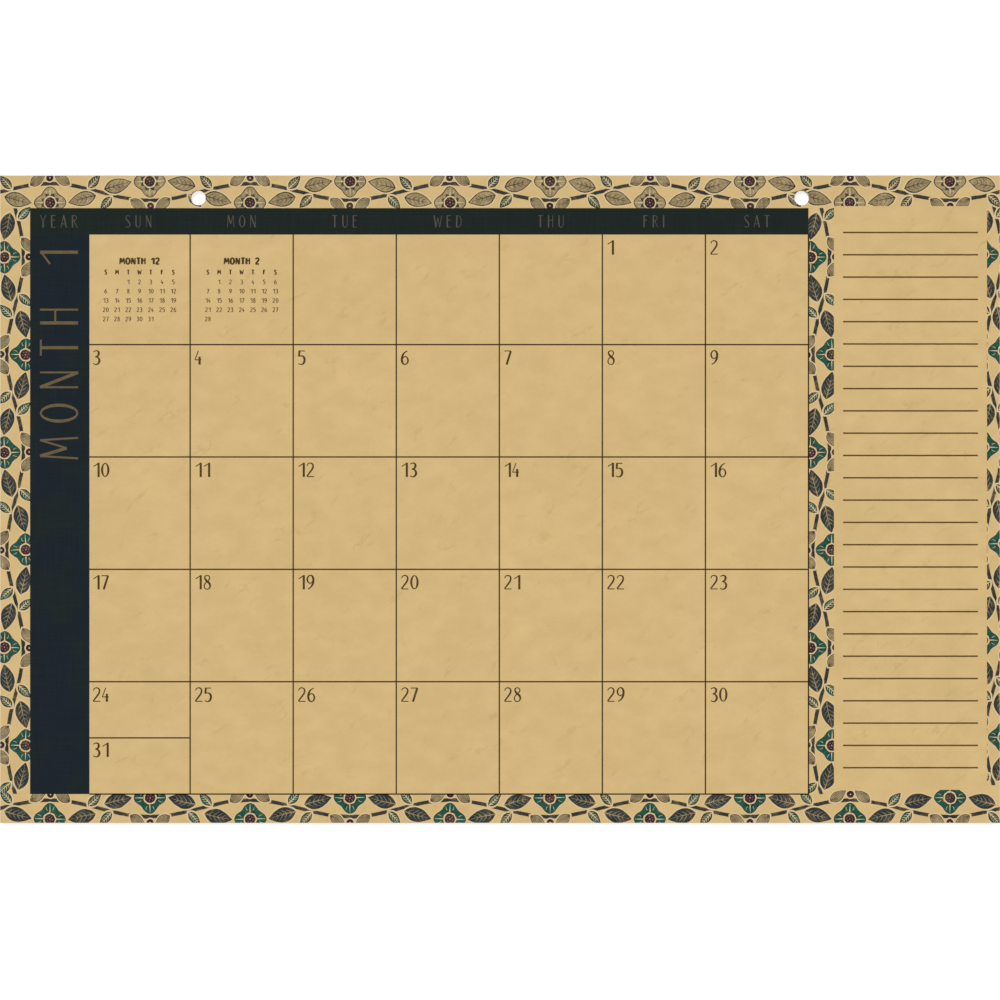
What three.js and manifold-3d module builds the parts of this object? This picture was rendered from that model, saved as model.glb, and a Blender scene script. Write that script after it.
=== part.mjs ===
// A desk pad calendar: twelve month sheets on a chipboard back, glued along the top edge and drilled to hang.
// Millimetres. X runs along the long side, +Y points to the glued edge and +Z out of the printed face.
// The pad lies on its back with its origin under the middle of it.
import * as THREE from "three";
import { mergeVertices } from "three/addons/utils/BufferGeometryUtils.js";
import Module from "manifold-3d";

const wasm = await Module();
wasm.setup();

// Pad
const padLength = 431.8;
const padHeight = 279.4;
const leafCount = 12;
const leafThickness = 0.14;
const boardThickness = 0.7;
const glueThickness = 0.3;

// Hang holes, drilled through sheets and board
const holeDiameter = 6.5;
const holeSpacing = 260.7;
const holeFromTop = 9.5;
const holeSides = 32;

// Print on the top sheet. Where two prints overlap, the one with the higher order shows.
const printOrder = { line: 1, vine: 1, leaf: 1, title: 2, blossom: 2, heart: 3, berry: 3 };
// Corners of the print that lie closer together than this are made one
const weldTolerance = 0.005;
const curveSteps = 4;

// Month panel: a title column and a weekday row in one dark field, with the day grid beside and below them
const monthLeft = 13;
const monthTop = 14;
const monthBottom = 12.4;
const titleColumnWidth = 24.6;
const weekdayRowHeight = 10.4;
const titleOverprint = 1;
const dayColumns = 7;
const dayRows = 5;
const gridLineWidth = 0.56;

// Notes panel: plain paper with ruled lines
const notesWidth = 66.1;
const notesRight = 5.6;
const notesTop = 13.1;
const notesBottom = 14.2;
const panelGap = 11;
const ruleWidth = 0.63;
const rulePitch = 9.63;
const ruleMargin = 3.9;
const firstRuleDrop = 11.4;

// Border print: a vine along the middle of each strip of border, which cuts off what reaches past its edges.
// Each hollow of the vine holds a blossom between two leaves, and each crest a berry.
// A hair of paper is left bare along the cut edges.
const bareEdge = 0.2;
const vineWave = 86;
const vineReach = 3.6;
const vineWidth = 1.2;
const vineSteps = 12;
const leafLength = 12.4;
const leafWidth = 6.4;
const leafLean = 0.24;
const leafShift = 1.8;
const blossomRadius = 7;
const blossomLobes = 4;
const blossomLobeDepth = 0.24;
const blossomOffset = 4.6;
const heartRadius = 2.2;
const berryRadius = 1.3;
const berryOffset = 6.1;
const dotSides = 6;

const colours = {
  paper: 0xd4b67f,
  titleInk: 0x202a2d,
  lineInk: 0x4b371e,
  tealInk: 0x1a5146,
  navyInk: 0x2a343a,
  plumInk: 0x3a1e2d,
  board: 0x9a8a6e,
  glue: 0xe3dfd2,
};

const sheetStack = leafCount * leafThickness;
const padTop = boardThickness + sheetStack;
// The glue stands out past the top edge, so the sheets lie half its thickness below the middle.
const sheetMiddleY = -glueThickness / 2;
const left = -padLength / 2;
const right = padLength / 2;
const bottom = sheetMiddleY - padHeight / 2;
const top = sheetMiddleY + padHeight / 2;

const month = {
  x0: left + monthLeft,
  x1: right - notesRight - notesWidth - panelGap,
  y0: bottom + monthBottom,
  y1: top - monthTop,
};
const notes = {
  x0: right - notesRight - notesWidth,
  x1: right - notesRight,
  y0: bottom + notesBottom,
  y1: top - notesTop,
};
const grid = {
  x0: month.x0 + titleColumnWidth,
  x1: month.x1,
  y0: month.y0,
  y1: month.y1 - weekdayRowHeight,
};

// Shapes

function rectangle({ x0, x1, y0, y1 }) {
  return new THREE.Shape([
    new THREE.Vector2(x0, y0),
    new THREE.Vector2(x1, y0),
    new THREE.Vector2(x1, y1),
    new THREE.Vector2(x0, y1),
  ]);
}

function ring(radiusAt, sides) {
  const points = Array.from({ length: sides }, (_, i) => {
    const turn = (2 * Math.PI * i) / sides;
    return new THREE.Vector2(Math.cos(turn), Math.sin(turn)).multiplyScalar(radiusAt(turn));
  });
  return new THREE.Shape(points);
}

function leafShape() {
  const shape = new THREE.Shape();
  shape.quadraticCurveTo(leafLength / 3, leafWidth, leafLength, 0);
  shape.quadraticCurveTo(leafLength / 3, -leafWidth, 0, 0);
  return shape;
}

function blossomShape() {
  const dip = (turn) => 0.5 - 0.5 * Math.cos(blossomLobes * turn);
  return ring((turn) => blossomRadius * (1 - blossomLobeDepth * dip(turn)), 4 * blossomLobes);
}

function dotShape(radius) {
  return ring(() => radius, dotSides);
}

// Solids

function solidFrom(geometry) {
  geometry.deleteAttribute("normal");
  geometry.deleteAttribute("uv");
  const merged = mergeVertices(geometry);
  return new wasm.Manifold(
    new wasm.Mesh({
      numProp: 3,
      vertProperties: merged.attributes.position.array,
      triVerts: new Uint32Array(merged.index.array),
    }),
  );
}

function plate(shape, z0, z1) {
  const geometry = new THREE.ExtrudeGeometry(shape, { depth: z1 - z0, bevelEnabled: false });
  return solidFrom(geometry.translate(0, 0, z0));
}

// A printed shape starts as a block rooted half way down the top sheet, taller where its order is higher,
// and pressedFlush then brings them all down to the paper.
function printed(shape, order, place = new THREE.Matrix4()) {
  const root = leafThickness / 2;
  const depth = root + order * leafThickness;
  const options = { depth, bevelEnabled: false, curveSegments: curveSteps };
  const geometry = new THREE.ExtrudeGeometry(shape, options);
  return solidFrom(geometry.applyMatrix4(place).translate(0, 0, padTop - root));
}

const union = (solids) => wasm.Manifold.union(solids);

// The printed blocks pressed down flush: their walls close up, and their outlines stay on the top face.
function pressedFlush(solid) {
  const { numProp, vertProperties, triVerts, runIndex, runOriginalID } = solid.getMesh();
  const firstAt = new Map();
  const corner = (v) => {
    const [x, y, z] = vertProperties.subarray(v * numProp, v * numProp + 3);
    const key = [x, y, Math.min(z, padTop)].join();
    if (!firstAt.has(key)) firstAt.set(key, v);
    return firstAt.get(key);
  };
  const kept = [];
  const starts = [0];
  for (let run = 0; run < runOriginalID.length; run++) {
    for (let t = runIndex[run]; t < runIndex[run + 1]; t += 3) {
      const corners = [0, 1, 2].map((k) => corner(triVerts[t + k]));
      if (new Set(corners).size === 3) kept.push(...corners);
    }
    starts.push(kept.length);
  }
  for (let i = 2; i < vertProperties.length; i += numProp) {
    vertProperties[i] = Math.min(vertProperties[i], padTop);
  }
  const flat = new wasm.Mesh({
    numProp,
    vertProperties,
    triVerts: new Uint32Array(kept),
    runIndex: new Uint32Array(starts),
    runOriginalID,
  });
  return new wasm.Manifold(flat).simplify(weldTolerance);
}

function drills() {
  return union(
    [-1, 1].map((side) => {
      const drill = new THREE.CylinderGeometry(holeDiameter / 2, holeDiameter / 2, 4 * padTop, holeSides);
      drill.rotateX(Math.PI / 2).translate((side * holeSpacing) / 2, top - holeFromTop, 0);
      return solidFrom(drill);
    }),
  );
}

// Print of the panels

function titleField() {
  const column = rectangle({ ...month, x1: grid.x0 + titleOverprint });
  const row = rectangle({ ...month, y0: grid.y1 - titleOverprint });
  return union([column, row].map((field) => printed(field, printOrder.title)));
}

function gridLines() {
  const half = gridLineWidth / 2;
  const columnPitch = (grid.x1 - grid.x0) / dayColumns;
  const rowPitch = (grid.y1 - grid.y0) / dayRows;
  const vertical = (x) => rectangle({ x0: x - half, x1: x + half, y0: grid.y0 - half, y1: grid.y1 });
  const horizontal = (y, x1) => rectangle({ x0: grid.x0, x1: x1 + half, y0: y - half, y1: y + half });
  const lines = [];
  for (let i = 1; i <= dayColumns; i++) lines.push(vertical(grid.x0 + i * columnPitch));
  for (let j = 0; j < dayRows; j++) lines.push(horizontal(grid.y0 + j * rowPitch, grid.x1));
  // The first day box of the last row is halved for the month's last date.
  lines.push(horizontal(grid.y0 + rowPitch / 2, grid.x0 + columnPitch));
  return union(lines.map((line) => printed(line, printOrder.line)));
}

function noteRules() {
  const rules = [];
  const [x0, x1] = [notes.x0 + ruleMargin, notes.x1 - ruleMargin];
  for (let y = notes.y1 - firstRuleDrop; y > notes.y0 + ruleMargin; y -= rulePitch) {
    const rule = rectangle({ x0, x1, y0: y - ruleWidth / 2, y1: y + ruleWidth / 2 });
    rules.push(printed(rule, printOrder.line));
  }
  return union(rules);
}

// Print of the border

// A place by a strip's middle line: s along it, offset to its left, and turned from its direction.
function stripPlace(strip, s, offset, turn = 0) {
  const direction = new THREE.Vector2().subVectors(strip.to, strip.from).normalize();
  const at = strip.from
    .clone()
    .addScaledVector(direction, s)
    .add(new THREE.Vector2(-direction.y, direction.x).multiplyScalar(offset));
  return new THREE.Matrix4().makeRotationZ(direction.angle() + turn).setPosition(at.x, at.y, 0);
}

function vineShape(length, wave) {
  const count = Math.round((length / wave) * vineSteps);
  const edge = (side) =>
    Array.from({ length: count + 1 }, (_, i) => {
      const s = (length * i) / count;
      return new THREE.Vector2(s, vineReach * Math.sin((2 * Math.PI * s) / wave) + (side * vineWidth) / 2);
    });
  return new THREE.Shape([...edge(-1), ...edge(1).reverse()]);
}

function vineStrip(strip) {
  const length = strip.from.distanceTo(strip.to);
  const halfWaves = 2 * Math.max(1, Math.round(length / vineWave));
  const step = length / halfWaves;
  const vine = printed(vineShape(length, 2 * step), printOrder.vine, stripPlace(strip, 0, 0));
  const inks = { navyInk: [vine], tealInk: [], plumInk: [] };
  for (let i = 0; i < halfWaves; i++) {
    const hollow = i % 2 ? 1 : -1;
    const start = i * step;
    const blossom = stripPlace(strip, start + step / 2, hollow * blossomOffset);
    const berry = stripPlace(strip, start + step / 2, -hollow * berryOffset);
    const leaves = [
      stripPlace(strip, start + leafShift, hollow * leafShift, hollow * leafLean),
      stripPlace(strip, start + step - leafShift, hollow * leafShift, Math.PI - hollow * leafLean),
    ];
    inks.navyInk.push(...leaves.map((place) => printed(leafShape(), printOrder.leaf, place)));
    inks.tealInk.push(printed(blossomShape(), printOrder.blossom, blossom));
    inks.plumInk.push(printed(dotShape(heartRadius), printOrder.heart, blossom));
    inks.plumInk.push(printed(dotShape(berryRadius), printOrder.berry, berry));
  }
  return inks;
}

function borderStrips() {
  const line = (x0, y0, x1, y1) => ({ from: new THREE.Vector2(x0, y0), to: new THREE.Vector2(x1, y1) });
  const xs = [(left + month.x0) / 2, (month.x1 + notes.x0) / 2, (notes.x1 + right) / 2];
  const ys = [(bottom + month.y0) / 2, (top + month.y1) / 2];
  return [
    ...ys.map((y) => line(left, y, right, y)),
    ...xs.map((x) => line(x, month.y0, x, month.y1)),
  ];
}

function borderPrint() {
  const outline = rectangle({
    x0: left + bareEdge,
    x1: right - bareEdge,
    y0: bottom + bareEdge,
    y1: top - bareEdge,
  });
  outline.holes.push(rectangle(month), rectangle(notes));
  const border = plate(outline, boardThickness, 2 * padTop);
  const strips = borderStrips().map(vineStrip);
  const ink = (name) => union(strips.flatMap((inks) => inks[name])).intersect(border);
  return { navyInk: ink("navyInk"), tealInk: ink("tealInk"), plumInk: ink("plumInk") };
}

// Meshes

function meshOf(name, solid, materials) {
  const { numProp, numVert, vertProperties, triVerts, runIndex, runOriginalID } = solid.getMesh();
  const positions = new Float32Array(numVert * 3);
  for (let i = 0; i < numVert; i++) {
    positions.set(vertProperties.subarray(i * numProp, i * numProp + 3), i * 3);
  }
  const geometry = new THREE.BufferGeometry();
  geometry.setAttribute("position", new THREE.BufferAttribute(positions, 3));
  geometry.setIndex(new THREE.BufferAttribute(triVerts, 1));
  const ids = [...materials.keys()];
  runOriginalID.forEach((id, run) => {
    geometry.addGroup(runIndex[run], runIndex[run + 1] - runIndex[run], ids.indexOf(id));
  });
  const mesh = new THREE.Mesh(geometry.toNonIndexed(), [...materials.values()]);
  mesh.geometry.computeVertexNormals();
  mesh.name = name;
  return mesh;
}

function paint(color, roughness) {
  return new THREE.MeshStandardMaterial({ color, roughness, metalness: 0 });
}

function monthSheets() {
  const sheet = rectangle({ x0: left, x1: right, y0: bottom, y1: top });
  const { navyInk, tealInk, plumInk } = borderPrint();
  const layers = [
    [plate(sheet, boardThickness, padTop), paint(colours.paper, 0.9)],
    [titleField(), paint(colours.titleInk, 0.8)],
    [union([gridLines(), noteRules()]), paint(colours.lineInk, 0.8)],
    [navyInk, paint(colours.navyInk, 0.8)],
    [tealInk, paint(colours.tealInk, 0.8)],
    [plumInk, paint(colours.plumInk, 0.8)],
  ].map(([solid, material]) => [solid.asOriginal(), material]);
  const drill = drills().asOriginal();
  const materials = new Map(layers.map(([solid, material]) => [solid.originalID(), material]));
  materials.set(drill.originalID(), layers[0][1]);
  const solid = union(layers.map(([layer]) => layer)).subtract(drill);
  return meshOf("month_sheets", pressedFlush(solid), materials);
}

function backingBoard() {
  const board = rectangle({ x0: left, x1: right, y0: bottom, y1: top });
  const solid = plate(board, 0, boardThickness).subtract(drills()).asOriginal();
  return meshOf("backing_board", solid, new Map([[solid.originalID(), paint(colours.board, 0.95)]]));
}

// The padding glue is brushed along the edge faces of the sheets and the board.
function glueBinding() {
  const strip = rectangle({ x0: left, x1: right, y0: top, y1: top + glueThickness });
  const solid = plate(strip, 0, padTop).asOriginal();
  return meshOf("glue_binding", solid, new Map([[solid.originalID(), paint(colours.glue, 0.5)]]));
}

const calendar = new THREE.Group();
calendar.add(monthSheets(), backingBoard(), glueBinding());

export default calendar;
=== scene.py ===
"""Dresses a desk pad calendar: month sheets, chipboard back, glued edge and the print on top."""

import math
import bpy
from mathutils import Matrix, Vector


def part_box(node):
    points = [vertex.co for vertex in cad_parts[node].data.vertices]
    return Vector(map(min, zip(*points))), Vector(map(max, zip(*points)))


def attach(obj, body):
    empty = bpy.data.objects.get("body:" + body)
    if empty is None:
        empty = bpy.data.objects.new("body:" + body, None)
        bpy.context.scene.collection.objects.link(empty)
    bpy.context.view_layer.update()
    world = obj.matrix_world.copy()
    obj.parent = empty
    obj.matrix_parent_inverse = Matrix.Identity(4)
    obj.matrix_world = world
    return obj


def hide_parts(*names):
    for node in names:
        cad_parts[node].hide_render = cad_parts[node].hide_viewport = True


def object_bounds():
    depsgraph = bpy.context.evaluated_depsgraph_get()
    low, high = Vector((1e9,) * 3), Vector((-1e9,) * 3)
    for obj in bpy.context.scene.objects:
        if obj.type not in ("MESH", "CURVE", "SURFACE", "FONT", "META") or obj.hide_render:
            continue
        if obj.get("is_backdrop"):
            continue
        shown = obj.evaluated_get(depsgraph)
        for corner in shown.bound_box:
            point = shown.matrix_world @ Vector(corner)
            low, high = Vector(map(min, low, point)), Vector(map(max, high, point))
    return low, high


bl_info = {
    "name": "Desk Pad Calendar",
    "version": (1, 0, 0),
    "blender": (4, 5, 0),
    "location": "3D View > Sidebar > Desk Pad",
    "description": "Builds the sheets, board, glue and print of a desk pad calendar round its CAD frame",
    "category": "Add Mesh",
}

from collections import namedtuple

import bmesh
import bpy
from bpy.props import FloatProperty, FloatVectorProperty, IntProperty, PointerProperty
from bpy.types import Operator, Panel, PropertyGroup
from mathutils import Matrix, Vector, noise
from mathutils.geometry import delaunay_2d_cdt

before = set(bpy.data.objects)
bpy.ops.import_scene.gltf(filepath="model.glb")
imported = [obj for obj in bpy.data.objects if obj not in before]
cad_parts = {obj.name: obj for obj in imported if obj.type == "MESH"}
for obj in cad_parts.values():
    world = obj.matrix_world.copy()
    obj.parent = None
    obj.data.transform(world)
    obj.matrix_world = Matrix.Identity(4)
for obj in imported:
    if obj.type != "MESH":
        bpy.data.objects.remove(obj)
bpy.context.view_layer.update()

MM = 0.001
CUT_TOLERANCE = 2e-8
CUT_LAYER = 99
LETTER_LAYER = 50
HOLE_SIDES = 48

Area = namedtuple("Area", "x0 y0 x1 y1")
Outline = namedtuple("Outline", "layer ink points")


def srgb(red, green, blue):
    """A colour as a user reads it off a picture, from 0 to 255."""
    return (red / 255, green / 255, blue / 255)


def length(description, millimetres):
    """A property that holds a length, in metres."""
    return FloatProperty(description=description, default=millimetres * MM, unit="LENGTH", precision=5)


def colour(description, red, green, blue):
    """A property that holds a colour as it is seen."""
    limits = {"subtype": "COLOR_GAMMA", "size": 3, "min": 0, "max": 1}
    return FloatVectorProperty(description=description, default=srgb(red, green, blue), **limits)


def labelled(group):
    """The group, with each property's own name as its label."""
    for name, made in group.__annotations__.items():
        made.keywords["name"] = name.replace("_", " ").capitalize()
    return group


@labelled
class PadSizes(PropertyGroup):
    """Sizes of the sheets and of the printed panels."""

    leaf_count: IntProperty(description="Month sheets in the pad", default=12, min=2)
    leaf_shift: length("How far a leaf lies off the stack's edges", 0.09)
    ink_thickness: length("How far the print stands above the top sheet", 0.04)
    hole_diameter: length("Hang hole", 6.5)
    hole_spacing: length("Between the middles of the two hang holes", 260.7)
    hole_drop: length("From the top edge to the middle of a hang hole", 9.5)
    month_left: length("Border to the left of the month panel", 13)
    month_top: length("Border above the month panel", 14)
    month_bottom: length("Border below the month panel", 12.4)
    column_width: length("Width of the title column", 24.6)
    row_height: length("Height of the weekday row", 10.4)
    overprint: length("How far the title ink laps over the day grid", 1)
    columns: IntProperty(description="Day boxes in a row", default=7, min=1)
    rows: IntProperty(description="Rows of day boxes", default=5, min=1)
    line_width: length("Lines of the day grid", 0.56)
    notes_width: length("Width of the notes panel", 66.1)
    notes_right: length("Border to the right of the notes panel", 5.6)
    notes_top: length("Border above the notes panel", 13.1)
    notes_bottom: length("Border below the notes panel", 14.2)
    panel_gap: length("Border between the two panels", 11)
    rule_width: length("Thickness of a note rule", 0.63)
    rule_pitch: length("From one note rule to the next", 9.63)
    rule_margin: length("From the notes panel's sides to the rules", 3.9)
    first_rule: length("From the notes panel's top to the first rule", 11.4)


@labelled
class BorderSizes(PropertyGroup):
    """Sizes of the vine that runs round the border."""

    wave: length("Length of a whole wave of the vine, before it is fitted to a strip", 86)
    reach: length("How far the vine swings to each side", 3.6)
    vine_width: length("Width of the vine's inner line", 0.75)
    outline_width: length("Dark outline round each shape", 0.4)
    halo_width: length("Pale rim outside the dark outline", 0.55)
    leaf_length: length("Large leaf", 12.4)
    leaf_width: length("Large leaf", 6.4)
    leaf_shift: length("From the vine's crossing to the leaf's foot", 1.8)
    leaf_lean: FloatProperty(description="Turn of a leaf", default=0.24, subtype="ANGLE")
    blossom_radius: length("Blossom", 7)
    blossom_offset: length("From the strip's middle line to the blossom", 4.6)
    heart_radius: length("Heart of a blossom", 2.2)
    berry_radius: length("Berry", 1.3)
    berry_offset: length("From the strip's middle line to the berry", 6.1)
    wobble: length("How ragged the block print's edges are", 0.22)


@labelled
class LetterSizes(PropertyGroup):
    """Sizes of the numbers and letters."""

    date_height: length("Numbers in the day boxes", 6.15)
    date_inset: length("From a day box's left line to its number", 2.0)
    date_drop: length("From a day box's top line to its number", 2.5)
    weekday_height: length("Letters in the weekday row", 5.2)
    month_height: length("Letters up the title column", 16.4)
    year_height: length("Letters at the head of the title column", 5.4)
    small_height: length("Numbers in the small calendars", 1.9)
    small_title_height: length("Letters over the small calendars", 2.7)
    small_column: length("From one column of a small calendar to the next", 4.86)
    small_row: length("From one row of a small calendar to the next", 4.0)


@labelled
class PadColours(PropertyGroup):
    """Colours of the paper, the board and the inks."""

    paper: colour("Parchment tint of the sheets", 213, 183, 128)
    paper_edge: colour("Cut edges of the sheets", 226, 210, 178)
    title: colour("Title column", 25, 34, 41)
    title_row: colour("Weekday row, and patches of the title column", 27, 36, 33)
    line: colour("Lines of the day grid", 50, 36, 18)
    rule: colour("Lines of the notes panel", 88, 63, 33)
    number: colour("Dates and small calendars", 74, 54, 29)
    gold: colour("Letters on the title ink", 106, 91, 65)
    dim_gold: colour("Small letters on the title ink", 84, 80, 70)
    teal: colour("Blossoms", 26, 84, 72)
    muted_teal: colour("Inner petals", 44, 66, 58)
    navy: colour("Large leaves", 42, 52, 55)
    plum: colour("Hearts and berries", 58, 30, 45)
    taupe: colour("Small leaves", 150, 132, 96)
    outline: colour("Outlines and veins", 59, 50, 40)
    halo: colour("Pale rim round the shapes", 216, 193, 147)
    board: colour("Chipboard back", 154, 138, 110)
    glue: colour("Dried padding glue", 227, 223, 210)


# Places on the sheet


def sheet_area():
    low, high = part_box("month_sheets")
    return Area(low.x, low.y, high.x, high.y)


def face_height():
    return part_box("month_sheets")[1].z


def month_area(sizes):
    sheet = sheet_area()
    notes = notes_area(sizes)
    return Area(
        sheet.x0 + sizes.month_left,
        sheet.y0 + sizes.month_bottom,
        notes.x0 - sizes.panel_gap,
        sheet.y1 - sizes.month_top,
    )


def notes_area(sizes):
    sheet = sheet_area()
    right = sheet.x1 - sizes.notes_right
    return Area(right - sizes.notes_width, sheet.y0 + sizes.notes_bottom, right, sheet.y1 - sizes.notes_top)


def grid_area(sizes):
    month = month_area(sizes)
    return Area(month.x0 + sizes.column_width, month.y0, month.x1, month.y1 - sizes.row_height)


def box_pitch(sizes):
    """Width and height of a day box."""
    grid = grid_area(sizes)
    return (grid.x1 - grid.x0) / sizes.columns, (grid.y1 - grid.y0) / sizes.rows


def corners_of(area):
    return [(area.x0, area.y0), (area.x1, area.y0), (area.x1, area.y1), (area.x0, area.y1)]


def ring(x, y, radius_at, sides):
    turns = [2 * math.pi * i / sides for i in range(sides)]
    return [(x + radius_at(t) * math.cos(t), y + radius_at(t) * math.sin(t)) for t in turns]


def hole_cuts(sizes):
    """The two hang holes, as outlines without ink."""
    y = sheet_area().y1 - sizes.hole_drop
    xs = (-sizes.hole_spacing / 2, sizes.hole_spacing / 2)
    radius = sizes.hole_diameter / 2
    return [Outline(CUT_LAYER, None, ring(x, y, lambda _: radius, HOLE_SIDES)) for x in xs]


# Flat plates cut from outlines


def turned_left(points):
    area = sum(a[0] * b[1] - b[0] * a[1] for a, b in zip(points, [*points[1:], points[0]]))
    return points if area > 0 else points[::-1]


def cut_outlines(outlines):
    """Corners, and each ink's triangles, where an outline on a higher layer covers those below it."""
    ordered = sorted(outlines, key=lambda outline: outline.layer)
    points = []
    faces = []
    for outline in ordered:
        faces.append(list(range(len(points), len(points) + len(outline.points))))
        points.extend(Vector(point) for point in turned_left(outline.points))
    corners, _, triangles, _, _, owners = delaunay_2d_cdt(points, [], faces, 1, CUT_TOLERANCE)
    by_ink = {}
    for triangle, owner in zip(triangles, owners):
        ink = ordered[max(owner)].ink if owner else None
        if ink is not None:
            by_ink.setdefault(ink, []).append(tuple(triangle))
    return corners, by_ink


def fans_apart(triangles):
    """The triangles with a corner split where two parts of the plate only touch in it."""
    around = {}
    for t, triangle in enumerate(triangles):
        for corner in triangle:
            around.setdefault(corner, []).append(t)
    key_of = {}
    for corner, near in around.items():
        left_over = set(near)
        fan = 0
        while left_over:
            found = [left_over.pop()]
            for t in found:
                others = set(triangles[t]) - {corner}
                joined = [n for n in left_over if others & set(triangles[n])]
                left_over.difference_update(joined)
                found.extend(joined)
            for t in found:
                key_of[t, corner] = (corner, fan)
            fan += 1
    return [tuple(key_of[t, corner] for corner in triangle) for t, triangle in enumerate(triangles)]


def plate_mesh(name, corners, triangles, low, high):
    """A closed plate from low to high over the triangles."""
    triangles = fans_apart(triangles)
    keys = sorted({key for triangle in triangles for key in triangle})
    index = {key: i for i, key in enumerate(keys)}
    count = len(keys)
    vertices = [(corners[key[0]].x, corners[key[0]].y, low) for key in keys]
    vertices += [(x, y, high) for x, y, _ in vertices]
    edges = set()
    faces = []
    for triangle in triangles:
        a, b, c = (index[key] for key in triangle)
        faces.append((c, b, a))
        faces.append((a + count, b + count, c + count))
        edges.update(((a, b), (b, c), (c, a)))
    for a, b in sorted(edges):
        if (b, a) not in edges:
            faces.append((a, b, b + count, a + count))
    mesh = bpy.data.meshes.new(name)
    mesh.from_pydata(vertices, [], faces)
    mesh.validate()
    return mesh


def add_piece(name, mesh, material):
    """The mesh as a piece of the pad that rides with it."""
    mesh.name = name
    mesh.materials.clear()
    mesh.materials.append(material)
    mesh.polygons.foreach_set("material_index", [0] * len(mesh.polygons))
    mesh.update()
    piece = bpy.data.objects.new(name, mesh)
    bpy.context.scene.collection.objects.link(piece)
    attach(piece, "root")
    return piece


def add_print(name, outlines, materials, sizes):
    """One plate for each ink of the outlines, lying on the top sheet."""
    corners, by_ink = cut_outlines(outlines)
    low = face_height()
    for ink, triangles in sorted(by_ink.items()):
        mesh = plate_mesh(name, corners, triangles, low, low + sizes.ink_thickness)
        add_piece(name if len(by_ink) == 1 else f"{name}_{ink}", mesh, materials[ink])


# Letters, as strokes between a foot line at 0 and a head line at 1. A stroke is a run of points, each with
# its place across, its height and its weight, from thin at 0 to thick at 1. It is straight between two
# points and smooth through more.


def loop(x, y, across, up):
    """A closed stroke that is thick on its two sides."""
    turns = [math.pi * i / 6 for i in range(12)]
    points = [(x + across * math.cos(t), y + up * math.sin(t), math.cos(t) ** 2) for t in turns]
    return [*points, points[0]]


def stem(x, foot=0.0, head=1.0, weight=1):
    return [(x, head, weight), (x, foot, weight)]


def bar(y, left, right):
    return [(left, y, 0), (right, y, 0)]


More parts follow.
